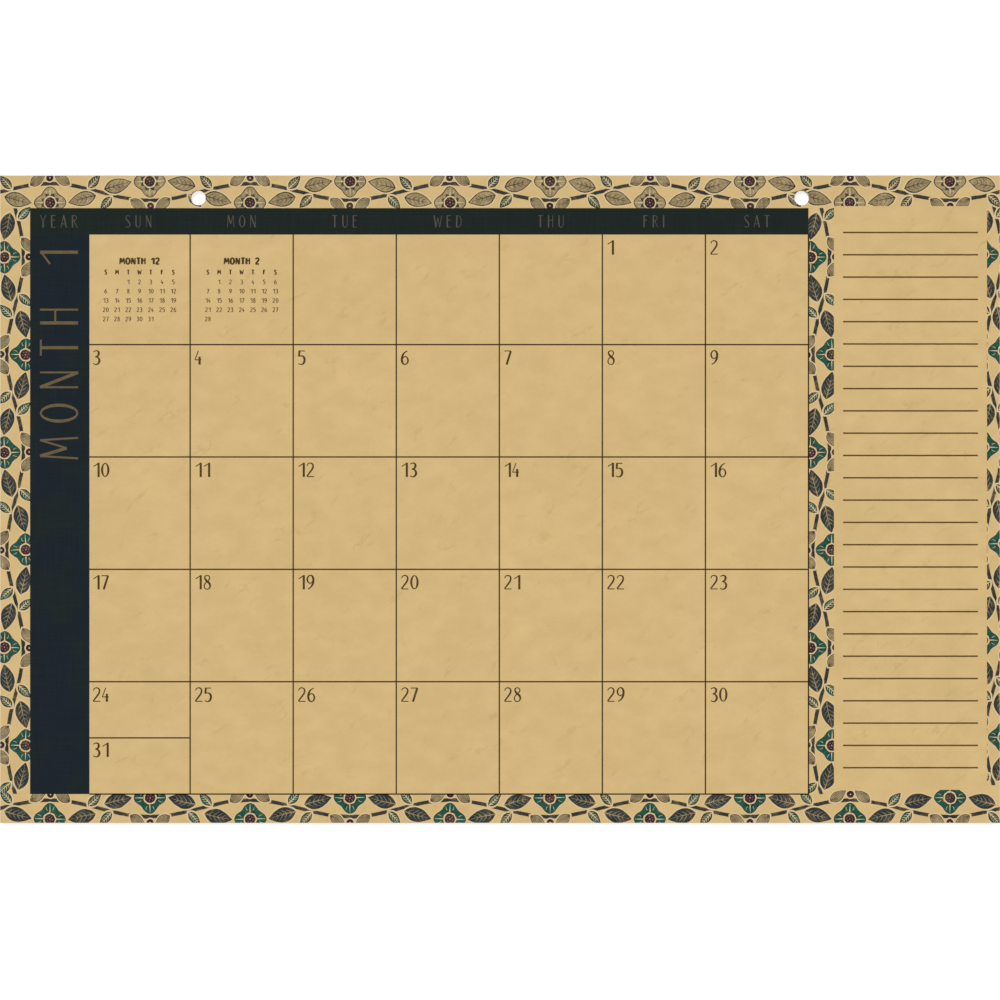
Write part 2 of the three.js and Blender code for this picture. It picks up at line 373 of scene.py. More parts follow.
GLYPHS = {
    " ": (0.4, []),
    "0": (0.5, [loop(0.25, 0.5, 0.19, 0.46)]),
    "1": (0.44, [[(0.05, 0.74, 0), (0.36, 0.97, 0)], stem(0.36)]),
    "2": (0.5, [
        [(0.05, 0.78, 0), (0.1, 0.92, 0), (0.24, 0.98, 0.1), (0.38, 0.9, 0.4), (0.41, 0.72, 0.6),
         (0.33, 0.5, 0.6), (0.04, 0.06, 0.3)],
        bar(0.03, 0.03, 0.46),
    ]),
    "3": (0.48, [
        [(0.05, 0.9, 0), (0.2, 0.98, 0.1), (0.34, 0.92, 0.6), (0.37, 0.77, 1), (0.31, 0.62, 0.6),
         (0.16, 0.55, 0)],
        [(0.16, 0.55, 0), (0.33, 0.49, 0.5), (0.41, 0.29, 1), (0.35, 0.09, 0.7), (0.2, 0.01, 0.1),
         (0.04, 0.08, 0)],
    ]),
    "4": (0.43, [[(0.22, 0.98, 0), (0.02, 0.36, 0)], bar(0.34, 0.0, 0.4), stem(0.29, head=0.56)]),
    "5": (0.48, [
        [(0.1, 0.98, 0.8), (0.07, 0.58, 0.8)],
        bar(0.96, 0.07, 0.42),
        [(0.06, 0.57, 0), (0.2, 0.62, 0.1), (0.35, 0.55, 0.7), (0.41, 0.33, 1), (0.34, 0.09, 0.7),
         (0.19, 0.01, 0.1), (0.03, 0.08, 0)],
    ]),
    "6": (0.5, [
        [(0.4, 0.96, 0), (0.22, 0.84, 0.3), (0.1, 0.62, 0.9), (0.06, 0.32, 1), (0.12, 0.1, 0.7),
         (0.25, 0.01, 0.1), (0.38, 0.1, 0.3), (0.43, 0.3, 0.6), (0.37, 0.5, 0.3), (0.24, 0.57, 0),
         (0.1, 0.44, 0)],
    ]),
    "7": (0.46, [bar(0.96, 0.03, 0.43), [(0.42, 0.96, 0.9), (0.16, 0.0, 0.9)]]),
    "8": (0.5, [
        [(0.25, 0.98, 0), (0.12, 0.92, 0.2), (0.1, 0.78, 0.5), (0.2, 0.6, 1), (0.36, 0.44, 1),
         (0.42, 0.24, 0.6), (0.36, 0.07, 0.2), (0.24, 0.01, 0), (0.11, 0.07, 0.1), (0.06, 0.24, 0.2),
         (0.13, 0.44, 0.1), (0.31, 0.62, 0.1), (0.39, 0.78, 0.2), (0.36, 0.92, 0.1), (0.25, 0.98, 0)],
    ]),
    "9": (0.5, [
        [(0.1, 0.02, 0), (0.27, 0.15, 0.3), (0.39, 0.38, 0.9), (0.43, 0.68, 1), (0.38, 0.9, 0.7),
         (0.25, 0.99, 0.1), (0.12, 0.9, 0.3), (0.06, 0.7, 0.6), (0.12, 0.5, 0.3), (0.25, 0.43, 0),
         (0.4, 0.56, 0)],
    ]),
    "A": (0.5, [[(0.02, 0.0, 0), (0.25, 1.0, 0)], [(0.24, 1.0, 1), (0.47, 0.0, 1)], bar(0.3, 0.09, 0.4)]),
    "D": (0.5, [
        stem(0.08),
        [(0.08, 0.98, 0), (0.3, 0.93, 0), (0.42, 0.72, 0), (0.45, 0.5, 0), (0.42, 0.28, 0), (0.3, 0.07, 0),
         (0.08, 0.02, 0)],
    ]),
    "E": (0.42, [stem(0.08), bar(0.98, 0.08, 0.38), bar(0.6, 0.08, 0.34), bar(0.02, 0.08, 0.38)]),
    "F": (0.4, [stem(0.08), bar(0.98, 0.08, 0.38), bar(0.6, 0.08, 0.33)]),
    "H": (0.5, [stem(0.08), stem(0.43, weight=0), bar(0.6, 0.08, 0.43)]),
    "I": (0.18, [stem(0.09)]),
    "M": (0.62, [
        [(0.04, 0.0, 0), (0.1, 1.0, 0)],
        [(0.1, 1.0, 1), (0.31, 0.3, 1)],
        [(0.31, 0.3, 0), (0.52, 1.0, 0)],
        [(0.52, 1.0, 0), (0.58, 0.0, 0)],
    ]),
    "N": (0.54, [
        [(0.07, 0.0, 0), (0.07, 1.0, 0)],
        [(0.07, 1.0, 1), (0.46, 0.0, 1)],
        [(0.46, 0.0, 0), (0.46, 1.0, 0)],
    ]),
    "O": (0.54, [loop(0.27, 0.5, 0.21, 0.48)]),
    "R": (0.48, [
        stem(0.08),
        [(0.08, 0.98, 0), (0.3, 0.95, 0), (0.4, 0.8, 0), (0.33, 0.62, 0), (0.08, 0.54, 0)],
        [(0.2, 0.56, 0), (0.45, 0.0, 0)],
    ]),
    "S": (0.44, [
        [(0.39, 0.9, 0), (0.25, 0.99, 0), (0.1, 0.93, 0.1), (0.06, 0.76, 0.4), (0.17, 0.58, 1),
         (0.31, 0.42, 1), (0.38, 0.24, 0.4), (0.33, 0.07, 0.1), (0.19, 0.01, 0), (0.04, 0.1, 0)],
    ]),
    "T": (0.46, [bar(0.98, 0.02, 0.44), stem(0.23)]),
    "U": (0.5, [
        stem(0.08, foot=0.3),
        [(0.08, 0.32, 1), (0.11, 0.12, 0.6), (0.25, 0.01, 0), (0.39, 0.1, 0), (0.43, 0.32, 0)],
        [(0.43, 0.3, 0), (0.43, 1.0, 0)],
    ]),
    "W": (0.68, [
        [(0.03, 1.0, 1), (0.18, 0.0, 1)],
        [(0.18, 0.0, 0), (0.34, 0.8, 0)],
        [(0.34, 0.8, 0), (0.5, 0.0, 0)],
        [(0.5, 0.0, 0), (0.65, 1.0, 0)],
    ]),
    "Y": (0.48, [
        [(0.02, 1.0, 0), (0.24, 0.5, 0)],
        [(0.46, 1.0, 0), (0.24, 0.5, 0)],
        stem(0.24, head=0.52),
    ]),
}


def smooth(points, steps):
    """Points on a smooth line through the given ones."""
    if len(points) < 3:
        return points
    closed = points[0] == points[-1]
    before = points[-2] if closed else points[0]
    after = points[1] if closed else points[-1]
    knots = [Vector(p) for p in (before, *points, after)]
    line = []
    for a, b, c, d in zip(knots, knots[1:], knots[2:], knots[3:]):
        for i in range(steps):
            t = i / steps
            bend = (2 * a - 5 * b + 4 * c - d) * t * t + (3 * b - a - 3 * c + d) * t * t * t
            line.append(0.5 * (2 * b + (c - a) * t + bend))
    return [*line, knots[-2]]


def stroke_outlines(points, thin, thick, steps):
    """A stroke as a chain of four-cornered outlines."""
    line = [Vector(point) for point in smooth(points, steps)]
    closed = points[0] == points[-1]
    sides = []
    for i, point in enumerate(line):
        back = line[i - 1] if i else (line[-2] if closed else line[0])
        ahead = line[i + 1] if i + 1 < len(line) else (line[1] if closed else line[-1])
        along = (ahead - back).to_2d().normalized()
        half = (thin + (thick - thin) * min(max(point.z, 0), 1)) / 2
        across = Vector((-along.y, along.x)) * half
        sides.append((point.to_2d() + across, point.to_2d() - across))
    return [[a[0], a[1], b[1], b[0]] for a, b in zip(sides, sides[1:])]


Hand = namedtuple("Hand", "height breadth gap thin thick steps")

# Breadth, gap between letters, thin line, thick line and steps of a curve, with the lengths in millimetres
HANDS = {
    "weekday": (1.0, 1.9, 0.28, 0.56, 5),
    "year": (1.0, 2.0, 0.32, 0.62, 5),
    "month": (1.0, 5.6, 0.82, 1.36, 8),
    "date": (1.16, 0.5, 0.4, 0.94, 6),
    "small_title": (1.34, 0.4, 0.62, 0.92, 5),
    "small_initial": (1.25, 0, 0.38, 0.54, 5),
    "small_number": (1.2, 0.24, 0.22, 0.33, 5),
}


def hand_of(name, height):
    breadth, gap, thin, thick, steps = HANDS[name]
    return Hand(height, breadth, gap * MM, thin * MM, thick * MM, steps)


def written_width(text, hand):
    return sum(GLYPHS[letter][0] * hand.height * hand.breadth + hand.gap for letter in text) - hand.gap


def written(ink, text, place, hand):
    """Outlines of a line of text whose foot line starts at the place's origin."""
    outlines = []
    across = 0
    thin, thick = hand.thin / hand.height, hand.thick / hand.height
    for letter in text:
        width, strokes = GLYPHS[letter]
        for stroke in strokes:
            wide = [(x * hand.breadth, y, weight) for x, y, weight in stroke]
            for outline in stroke_outlines(wide, thin, thick, hand.steps):
                points = [(across + p.x * hand.height, p.y * hand.height) for p in outline]
                outlines.append(Outline(LETTER_LAYER, ink, moved(points, place)))
        across += width * hand.height * hand.breadth + hand.gap
    return outlines


def spot(x, y, turn=0):
    return Matrix.Translation((x, y, 0)) @ Matrix.Rotation(turn, 4, "Z")


def moved(points, place):
    shifted = [place @ Vector((x, y, 0)) for x, y in points]
    return [(p.x, p.y) for p in shifted]


def centred(ink, text, middle, foot, hand):
    return written(ink, text, spot(middle - written_width(text, hand) / 2, foot), hand)


# Node trees


class Nodes:
    """Adds nodes to a tree. An input is a value or a socket, and each node comes back as its outputs."""

    def __init__(self, tree, given=None):
        self.tree = tree
        self.given = given

    def add(self, kind, inputs=None, **settings):
        made = self.tree.nodes.new(kind)
        for name, value in settings.items():
            setattr(made, name, value)
        for name, value in (inputs or {}).items():
            self.feed(made.inputs[name], value)
        return made.outputs

    def feed(self, socket, value):
        if isinstance(value, bpy.types.NodeSocket):
            self.tree.links.new(value, socket)
        else:
            socket.default_value = value

    def maths(self, operation, *values, clamp=False):
        return self.add("ShaderNodeMath", dict(enumerate(values)), operation=operation, use_clamp=clamp)[0]

    def times(self, first, second):
        return self.maths("MULTIPLY", first, second)

    def times_plus(self, first, second, third):
        return self.maths("MULTIPLY_ADD", first, second, third)

    def minus(self, first, second):
        return self.maths("SUBTRACT", first, second)

    def vector_maths(self, operation, first, second):
        return self.add("ShaderNodeVectorMath", {0: first, 1: second}, operation=operation)[0]

    def scaled(self, vector, scale):
        return self.add("ShaderNodeVectorMath", {0: vector, "Scale": scale}, operation="SCALE")[0]

    def combined(self, x=0.0, y=0.0, z=0.0):
        return self.add("ShaderNodeCombineXYZ", {"X": x, "Y": y, "Z": z})[0]

    def axis(self, vector, name):
        return self.add("ShaderNodeSeparateXYZ", {0: vector})[name]

    def blend(self, amount, first, second, kind="MIX"):
        inputs = {0: amount, 6: first, 7: second}
        return self.add("ShaderNodeMix", inputs, data_type="RGBA", blend_type=kind)[2]

    def tinted(self, colour, red, green, blue):
        return self.blend(1.0, colour, (red, green, blue, 1.0), "MULTIPLY")

    def speckle(self, vector, scale, detail=2.0, roughness=0.5):
        """Noise round 0.5 at a scale in grains per metre."""
        inputs = {"Vector": vector, "Scale": scale, "Detail": detail, "Roughness": roughness}
        return self.add("ShaderNodeTexNoise", inputs)["Fac"]

    def step_up(self, value, low, high):
        """0 below low and 1 above high."""
        inputs = {"Value": value, "From Min": low, "From Max": high}
        return self.add("ShaderNodeMapRange", inputs, interpolation_type="SMOOTHSTEP")["Result"]

    def patches(self, vector, noise_values, low, high):
        """Where the noise rises above low."""
        return self.step_up(self.speckle(vector, *noise_values), low, high)

    def factor(self, value, share):
        """A share of a value round 0, as a factor round 1."""
        return self.maths("MULTIPLY_ADD", value, share, 1.0)

    def stretched(self, vector, scale, turn=0.0, kind="POINT"):
        inputs = {"Vector": vector, "Rotation": (0.0, 0.0, turn), "Scale": scale}
        return self.add("ShaderNodeMapping", inputs, vector_type=kind)["Vector"]

    def group(self, name, build, inputs):
        """A node that uses the group of that name, which is built when it is first asked for."""
        kind = "ShaderNodeGroup" if self.tree.type == "SHADER" else "GeometryNodeGroup"
        group = bpy.data.node_groups.get(name) or build()
        return self.add(kind, inputs, node_tree=group)

    def moved(self, geometry, offset):
        return self.add("GeometryNodeSetPosition", {"Geometry": geometry, "Offset": offset})[0]

    def transformed(self, geometry, translation, rotation=(0.0, 0.0, 0.0)):
        inputs = {"Geometry": geometry, "Translation": translation, "Rotation": rotation}
        return self.add("GeometryNodeTransform", inputs)[0]

    def grid(self, width, height, across, up):
        inputs = {"Size X": width, "Size Y": height, "Vertices X": across, "Vertices Y": up}
        return self.add("GeometryNodeMeshGrid", inputs)[0]

    def row_of_points(self, count, offset, start=(0.0, 0.0, 0.0)):
        inputs = {"Count": count, "Start Location": start, "Offset": offset}
        return self.add("GeometryNodeMeshLine", inputs, mode="OFFSET")[0]

    def random_vector(self, low, high):
        inputs = {"Min": low, "Max": high, "Seed": self.given["Seed"]}
        return self.add("FunctionNodeRandomValue", inputs, data_type="FLOAT_VECTOR")["Value"]

    def object_shape(self, label):
        return self.add("GeometryNodeObjectInfo", {"Object": self.given[label]})["Geometry"]

    def copies(self, points, shape, **more):
        return self.add("GeometryNodeInstanceOnPoints", {"Points": points, "Instance": shape, **more})[0]

    def joined(self, shapes):
        """The shapes in one."""
        made = self.tree.nodes.new("GeometryNodeJoinGeometry")
        for shape in shapes:
            self.tree.links.new(shape, made.inputs[0])
        return made.outputs[0]

    def real(self, geometry):
        return self.add("GeometryNodeRealizeInstances", {"Geometry": geometry})[0]

    def seen(self):
        """1 for a ray from the camera, also by way of gloss or glass, and 0 for a ray that lights."""
        path = self.add("ShaderNodeLightPath")
        seen = self.maths("MAXIMUM", path["Is Camera Ray"], path["Is Glossy Ray"])
        return self.maths("MAXIMUM", seen, path["Is Transmission Ray"])

    def waves(self, scale, share):
        """A sideways move that depends on the place."""
        place = self.add("GeometryNodeInputPosition")[0]
        colour = self.add("ShaderNodeTexNoise", {"Vector": place, "Scale": scale, "Detail": 1.0})["Color"]
        level = self.vector_maths("SUBTRACT", colour, (0.5, 0.5, 0.5))
        return self.vector_maths("MULTIPLY", level, (share, share, 0.0))

    def end(self, **results):
        """Links the results to the outputs of the group."""
        self.add("NodeGroupOutput", results)
        return self.tree

    def end_with_material(self, geometry, label):
        inputs = {"Geometry": self.real(geometry), "Material": self.given[label]}
        return self.end(Geometry=self.add("GeometryNodeSetMaterial", inputs)[0])


def bare_tree(owner):
    """The owner's own node tree, emptied."""
    owner.use_nodes = True
    owner.node_tree.nodes.clear()
    return owner.node_tree


def new_group(name, kind, inputs, **outputs):
    """A node group. An input has its default value or its kind of socket, and an output its kind."""
    tree = bpy.data.node_groups.new(name, kind)
    for label, value in inputs.items():
        socket = {float: "Float", int: "Int"}.get(type(value), value)
        item = tree.interface.new_socket(label, in_out="INPUT", socket_type=f"NodeSocket{socket}")
        if socket != value:
            item.default_value = value
    for label, socket in outputs.items():
        tree.interface.new_socket(label, in_out="OUTPUT", socket_type=f"NodeSocket{socket}")
    return Nodes(tree, tree.nodes.new("NodeGroupInput").outputs)


# Shader groups


def parchment_group():
    """Paper with clouds of tone, slanted creases and fine fibres."""
    inputs = {"Vector": "Vector", "Colour": "Color", "Cloud": 0.1, "Crease": 0.1, "Grain": 0.05}
    t = new_group("Parchment", "ShaderNodeTree", inputs, Colour="Color", Height="Float")
    vector, amount = t.given["Vector"], t.given["Crease"]
    wide = t.speckle(vector, 16.0, 4.0, 0.6)
    near = t.speckle(t.stretched(vector, (1.0, 1.4, 1.0)), 95.0, 5.0, 0.62)
    both = t.times_plus(wide, 0.4, near)
    depth = t.times(t.given["Cloud"], -5.0)
    cloud = t.times_plus(t.minus(both, 0.7), depth, 0.5)
    slanted = t.stretched(vector, (1.0, 0.5, 1.0), math.radians(38), "TEXTURE")
    fold = t.maths("ABSOLUTE", t.minus(t.speckle(slanted, 62.0, 3.0, 0.6), 0.5))
    line = t.minus(1.0, t.step_up(fold, 0.0, 0.05))
    shown = t.patches(slanted, (75.0, 3.0, 0.6), 0.54, 0.7)
    crease = t.times(t.times(line, shown), amount)
    fibre = t.minus(t.speckle(t.stretched(vector, (1.0, 3.0, 1.0)), 1600.0), 0.5)
    scaled = t.scaled(t.given["Colour"], t.factor(fibre, t.given["Grain"]))
    clouded = t.blend(cloud, t.tinted(scaled, 1.09, 1.085, 1.12), t.tinted(scaled, 0.91, 0.92, 0.87))
    creased = t.blend(crease, clouded, t.tinted(clouded, 0.76, 0.74, 0.6))
    height = t.minus(fibre, t.times(crease, 2.0))
    return t.end(Colour=creased, Height=height)


def wear_group():
    """Block-printed ink: uneven in tone, rubbed in places and speckled where the paper shows through."""
    inputs = {"Vector": "Vector", "Ink": "Color", "Under": "Color", "Rub": 0.3, "Speckle": 0.3, "Tone": 0.3}
    t = new_group("Worn ink", "ShaderNodeTree", inputs, Colour="Color", Mask="Float")
    vector = t.given["Vector"]
    patch = t.patches(vector, (260.0, 4.0, 0.6), 0.45, 0.75)
    grain = t.patches(vector, (2600.0, 3.0, 0.7), 0.42, 0.6)
    rubbed = t.times(t.times(patch, grain), t.given["Rub"])
    dots = t.times(t.patches(vector, (1500.0,), 0.6, 0.7), t.given["Speckle"])
    mask = t.maths("MAXIMUM", rubbed, dots, clamp=True)
    clouds = t.minus(t.speckle(vector, 420.0, 4.0, 0.6), 0.5)
    toned = t.scaled(t.given["Ink"], t.factor(clouds, t.given["Tone"]))
    return t.end(Colour=t.blend(mask, toned, t.given["Under"]), Mask=mask)


def linen_group():
    """A plain weave: threads across and along, each a little uneven."""
    inputs = {"Vector": "Vector", "Colour": "Color", "Threads": 900.0, "Contrast": 0.3}
    t = new_group("Linen", "ShaderNodeTree", inputs, Colour="Color", Height="Float")
    long_way, short_way = 0.08, 1.6
    across = t.stretched(t.given["Vector"], (long_way, short_way, 1.0))
    along = t.stretched(t.given["Vector"], (short_way, long_way, 1.0))
    threads = [t.speckle(way, t.given["Threads"], 2.0, 0.6) for way in (across, along)]
    weave = t.minus(t.maths("ADD", *threads), 1.0)
    toned = t.scaled(t.given["Colour"], t.factor(weave, t.given["Contrast"]))
    return t.end(Colour=toned, Height=weave)


# Materials


def linear(tint):
    """A seen colour as the renderer's own."""
    steps = [c / 12.92 if c <= 0.04045 else ((c + 0.055) / 1.055) ** 2.4 for c in tint]
    return (*steps, 1.0)


def darker(colour, share):
    return tuple(share * c for c in colour[:3]) + (1.0,)


class Look(Nodes):
    """A material with its shader, and the Object coordinates that its pattern reads."""

    def __init__(self, name, roughness, gloss):
        self.material = bpy.data.materials.new(name)
        super().__init__(bare_tree(self.material))
        finish = {"Roughness": roughness, "Specular IOR Level": gloss}
        shader = self.add("ShaderNodeBsdfPrincipled", finish)[0]
        self.add("ShaderNodeOutputMaterial", {"Surface": shader})
        self.sockets = shader.node.inputs
        self.coordinates = self.add("ShaderNodeTexCoord")["Object"]

    def colour(self, value):
        self.feed(self.sockets["Base Color"], value)

    def roughness(self, value, share, least):
        self.feed(self.sockets["Roughness"], self.maths("MULTIPLY_ADD", value, share, least))

    def bump(self, height, distance, strength):
        inputs = {"Height": height, "Distance": distance, "Strength": strength}
        self.feed(self.sockets["Normal"], self.add("ShaderNodeBump", inputs)[0])

    def parchment(self, colour, cloud, crease, grain):
        inputs = {"Colour": colour, "Cloud": cloud, "Crease": crease, "Grain": grain}
        return self.group("Parchment", parchment_group, {"Vector": self.coordinates, **inputs})

    def linen(self, colour, threads, contrast):
        inputs = {"Vector": self.coordinates, "Colour": colour, "Threads": threads, "Contrast": contrast}
        return self.group("Linen", linen_group, inputs)


def paper_material(name, face, edge):
    """Tinted paper: parchment on its faces, and paler and lined along its cut edges."""
    look = Look(name, roughness=0.92, gloss=0.08)
    sheet = look.parchment(face, cloud=0.26, crease=0.38, grain=0.1)
    up = look.axis(look.add("ShaderNodeNewGeometry")["Normal"], "Z")
    flat = look.step_up(look.maths("ABSOLUTE", up), 0.4, 0.6)
    rough = look.speckle(look.stretched(look.coordinates, (1.0, 1.0, 6.0)), 1400.0, 3.0, 0.7)
    look.colour(look.blend(flat, look.blend(rough, darker(edge, 0.72), edge), sheet["Colour"]))
    look.bump(sheet["Height"], distance=0.04 * MM, strength=0.25)
    return look.material


# What shows through each ink, and how far the ink is rubbed, speckled, uneven in tone and woven
INK_WEAR = {
    "gold": ("title", 0.35, 0.12, 0.5, 0.0),
    "dim_gold": ("title", 0.45, 0.15, 0.5, 0.0),
    "line": ("paper", 0.08, 0.02, 0.25, 0.0),
    "rule": ("paper", 0.1, 0.03, 0.25, 0.0),
    "number": ("paper", 0.15, 0.05, 0.3, 0.0),
    "small_number": ("paper", 0.08, 0.02, 0.2, 0.0),
    "halo": ("paper", 0.6, 0.2, 0.1, 0.0),
    "outline": ("paper", 0.5, 0.15, 0.5, 1.0),
    "navy": ("taupe", 0.6, 0.3, 0.6, 1.0),
    "teal": ("muted_teal", 0.8, 0.25, 0.8, 1.0),
    "muted_teal": ("taupe", 0.6, 0.3, 0.6, 1.0),
    "plum": ("taupe", 0.4, 0.3, 0.6, 1.0),
    "taupe": ("halo", 0.6, 0.3, 0.5, 1.0),
}


def ink_material(name, inks, colour=None):
    """Block-printed ink, worn so that what is under it shows through, and woven where it has a weave."""
    look = Look(f"{name}_ink", roughness=0.85, gloss=0.1)
    under, rub, speckle, tone, weave = INK_WEAR[name]
    ink = inks[colour or name]
    if weave:
        ink = look.linen(ink, threads=700.0, contrast=weave)["Colour"]
    inputs = {"Vector": look.coordinates, "Ink": ink, "Under": inks[under]}
    inputs |= {"Rub": rub, "Speckle": speckle, "Tone": tone}
    worn = look.group("Worn ink", wear_group, inputs)
    look.colour(worn["Colour"])
    look.roughness(worn["Mask"], share=0.1, least=0.82)
    return look.material


def title_material(name, ink, row_ink, row_foot):
    """Dark title ink printed with a linen weave, greener in patches and in the weekday row."""
    look = Look(name, roughness=0.8, gloss=0.08)
    in_row = look.step_up(look.axis(look.coordinates, "Y"), row_foot - 2 * MM, row_foot + 2 * MM)
    patch = look.times(look.patches(look.coordinates, (60.0, 3.0), 0.42, 0.62), 0.6)
    tint = look.blend(look.maths("MAXIMUM", in_row, patch), ink, row_ink)
    linen = look.linen(tint, threads=900.0, contrast=0.5)
    look.colour(linen["Colour"])
    look.bump(linen["Height"], distance=0.02 * MM, strength=0.15)
    return look.material


def board_material(name, face):
    """Grey-brown chipboard with flecks and matted fibres."""
    look = Look(name, roughness=0.95, gloss=0.08)
    pulp = look.parchment(face, cloud=0.34, crease=0.5, grain=0.6)
    fibres = look.speckle(look.stretched(look.coordinates, (1.0, 4.0, 1.0)), 240.0, 4.0, 0.7)
    pale = look.times(look.step_up(fibres, 0.56, 0.7), 0.5)
    lighter = look.blend(pale, pulp["Colour"], linear(srgb(202, 190, 164)))
    fleck = look.times(look.patches(look.coordinates, (480.0, 3.0, 0.6), 0.62, 0.7), 0.75)
    look.colour(look.blend(fleck, lighter, linear(srgb(84, 72, 56))))
    look.bump(look.maths("ADD", pulp["Height"], fibres), distance=0.1 * MM, strength=0.5)
    return look.material


def glue_material(name, face):
    """Dried white padding glue, brushed along the edge."""
    look = Look(name, roughness=0.45, gloss=0.4)
    streak = look.speckle(look.stretched(look.coordinates, (1.0, 12.0, 12.0)), 320.0, 3.0, 0.6)
    look.colour(look.blend(streak, darker(face, 0.8), face))
    look.roughness(streak, share=0.3, least=0.3)
    look.bump(streak, distance=0.08 * MM, strength=0.6)
    return look.material


# Patterns that repeat or follow a line


def grown(tree, values):
    """The mesh that a geometry node tree makes with these values."""
    maker = bpy.data.objects.new("maker", bpy.data.meshes.new("maker"))
    modifier = maker.modifiers.new("pattern", "NODES")
    modifier.node_group = tree
    for item in tree.interface.items_tree:
        if item.item_type == "SOCKET" and item.in_out == "INPUT" and item.name in values:
            modifier[item.identifier] = values[item.name]
    bpy.context.scene.collection.objects.link(maker)
    depsgraph = bpy.context.evaluated_depsgraph_get()
    evaluated = maker.evaluated_get(depsgraph)
    mesh = bpy.data.meshes.new_from_object(evaluated, preserve_all_data_layers=True, depsgraph=depsgraph)
    maker.modifiers.clear()
    bpy.data.objects.remove(maker)
    if not mesh.polygons:
        raise RuntimeError(f"{tree.name} made no faces")
    return mesh


def leaf_stack_tree():
    """Copies of one leaf, one above the other, each a little off the stack's edges."""
    inputs = {"Leaf": "Object", "Count": 11, "Pitch": 0.14 * MM, "Shift": 0.1 * MM, "Seed": 3}
    inputs["Paper"] = "Material"
    t = new_group("Leaf stack", "GeometryNodeTree", inputs, Geometry="Geometry")
    points = t.row_of_points(t.given["Count"], t.combined(z=t.given["Pitch"]))
    throw = t.random_vector((-1.0, -1.0, 0.0), (1.0, 0.0, 0.0))
    placed = t.moved(points, t.scaled(throw, t.given["Shift"]))
    return t.end_with_material(t.copies(placed, t.object_shape("Leaf")), "Paper")


def ink_bar_tree():
    """One printed line from the origin along X."""
    inputs = {"Length": 50 * MM, "Width": 0.5 * MM, "Thickness": 0.04 * MM, "Steps": 12}
    t = new_group("Ink bar", "GeometryNodeTree", inputs, Geometry="Geometry")
    long, wide, thick, steps = (t.given[name] for name in inputs)
    box = {"Size": t.combined(long, wide, thick), "Vertices X": steps, "Vertices Y": 2, "Vertices Z": 2}
    bar = t.add("GeometryNodeMeshCube", box)[0]
    middle = t.combined(x=t.times(long, 0.5), z=t.times(thick, 0.5))
    return t.end(Geometry=t.transformed(bar, middle))


def ink_bar(t, length_socket, width, **more):
    inputs = {"Length": length_socket, "Width": width, "Thickness": t.given["Thickness"], **more}
    return t.group("Ink bar", ink_bar_tree, inputs)[0]


def day_grid_tree():
    """The foot and the right side of each day box."""
    inputs = {
        "Columns": 7,
        "Rows": 5,
        "Box width": 44 * MM,
        "Box height": 48 * MM,
        "Line width": 0.5 * MM,
        "Thickness": 0.04 * MM,
        "Corner": "Vector",
        "Ink": "Material",
    }
    t = new_group("Day grid", "GeometryNodeTree", inputs, Geometry="Geometry")
    columns, rows, width, height, line = (t.given[name] for name in list(inputs)[:5])
    half = t.times(line, 0.5)
    foot = t.transformed(ink_bar(t, t.minus(width, line), line), t.combined(x=half))
    corner = t.combined(width, t.times(half, -1.0))
    side = t.transformed(ink_bar(t, height, line), corner, (0.0, 0.0, math.pi / 2))
    across = t.times(t.minus(columns, 1), width)
    up = t.times(t.minus(rows, 1), height)
    middle = t.combined(t.times(across, 0.5), t.times(up, 0.5))
    start = t.vector_maths("ADD", t.given["Corner"], middle)
    placed = t.transformed(t.grid(across, up, columns, rows), start)
    return t.end_with_material(t.copies(placed, t.joined((foot, side))), "Ink")


def note_rules_tree():
    """Rules one below the other, from the first rule down, a little uneven in width."""
    inputs = {
        "Count": 25,
        "Pitch": 9.6 * MM,
        "Length": 58 * MM,
        "Width": 0.45 * MM,
        "Thickness": 0.04 * MM,
        "Start": "Vector",
        "Ink": "Material",
    }
    t = new_group("Note rules", "GeometryNodeTree", inputs, Geometry="Geometry")
    fall = t.combined(y=t.times(t.given["Pitch"], -1.0))
    points = t.row_of_points(t.given["Count"], fall, t.given["Start"])
    rules = t.real(t.copies(points, ink_bar(t, t.given["Length"], t.given["Width"], Steps=40)))
    return t.end_with_material(t.moved(rules, t.waves(300.0, 0.12 * MM)), "Ink")


